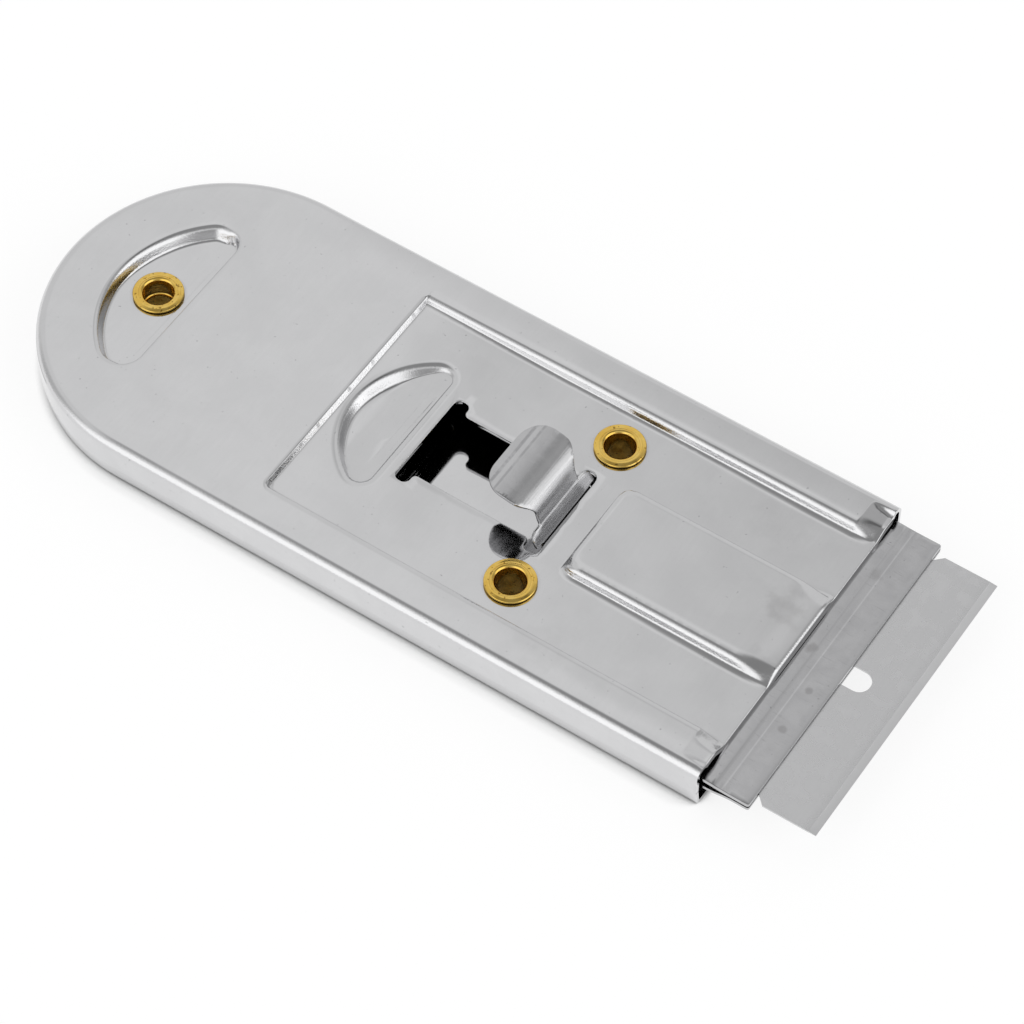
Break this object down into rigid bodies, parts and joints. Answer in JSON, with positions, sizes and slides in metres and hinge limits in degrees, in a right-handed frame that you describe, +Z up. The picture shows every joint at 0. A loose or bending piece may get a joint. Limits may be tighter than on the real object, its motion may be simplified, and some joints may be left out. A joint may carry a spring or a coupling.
{
  "type": "ceramic hob scraper",
  "caption": "Pocket scraper for glass ceramic hobs: flat pressed steel case, blade that slides out of its front and a sprung thumb lever that latches it.",
  "frame": {"origin": "under the middle of the whole scraper with its blade out, on the flat underside of the case", "axes": "+X along the scraper towards the cutting edge, +Y across it, +Z up out of the case's top, on the thumb lever's side"},
  "size_m": [0.1166, 0.0442, 0.0123],
  "materials": {
    "case_steel": "polished",
    "holder_steel": "satin",
    "blade_steel": "ground",
    "lever_steel": "polished",
    "brass": "tarnished"
  },
  "bodies": {
    "case": {"top_cover": "case_steel", "bottom_shell": "case_steel", "hang_eyelet": "brass", "left_guide_eyelet": "brass", "right_guide_eyelet": "brass"},
    "blade_holder": {"upper_jaw": "holder_steel", "lower_jaw": "holder_steel", "lever_rivets": "holder_steel"},
    "lever": {"thumb_lever": "lever_steel"},
    "cutting_blade": {"blade": "blade_steel"}
  },
  "joints": [
    {"name": "carriage_slide", "type": "slide", "parent": "case", "child": "blade_holder", "axis": [1, 0, 0], "range_m": [-0.01775, 0]},
    {"name": "lever_press", "type": "hinge", "parent": "blade_holder", "child": "lever", "pos_m": [0.0373, 0, 0.00392], "axis": [0, -1, 0], "range_deg": [0, 5.2], "stiffness_Nm_per_rad": 2.4},
    {"name": "blade_removal", "type": "slide", "parent": "blade_holder", "child": "cutting_blade", "axis": [1, 0, 0], "range_m": [0, 0.02]}
  ]
}
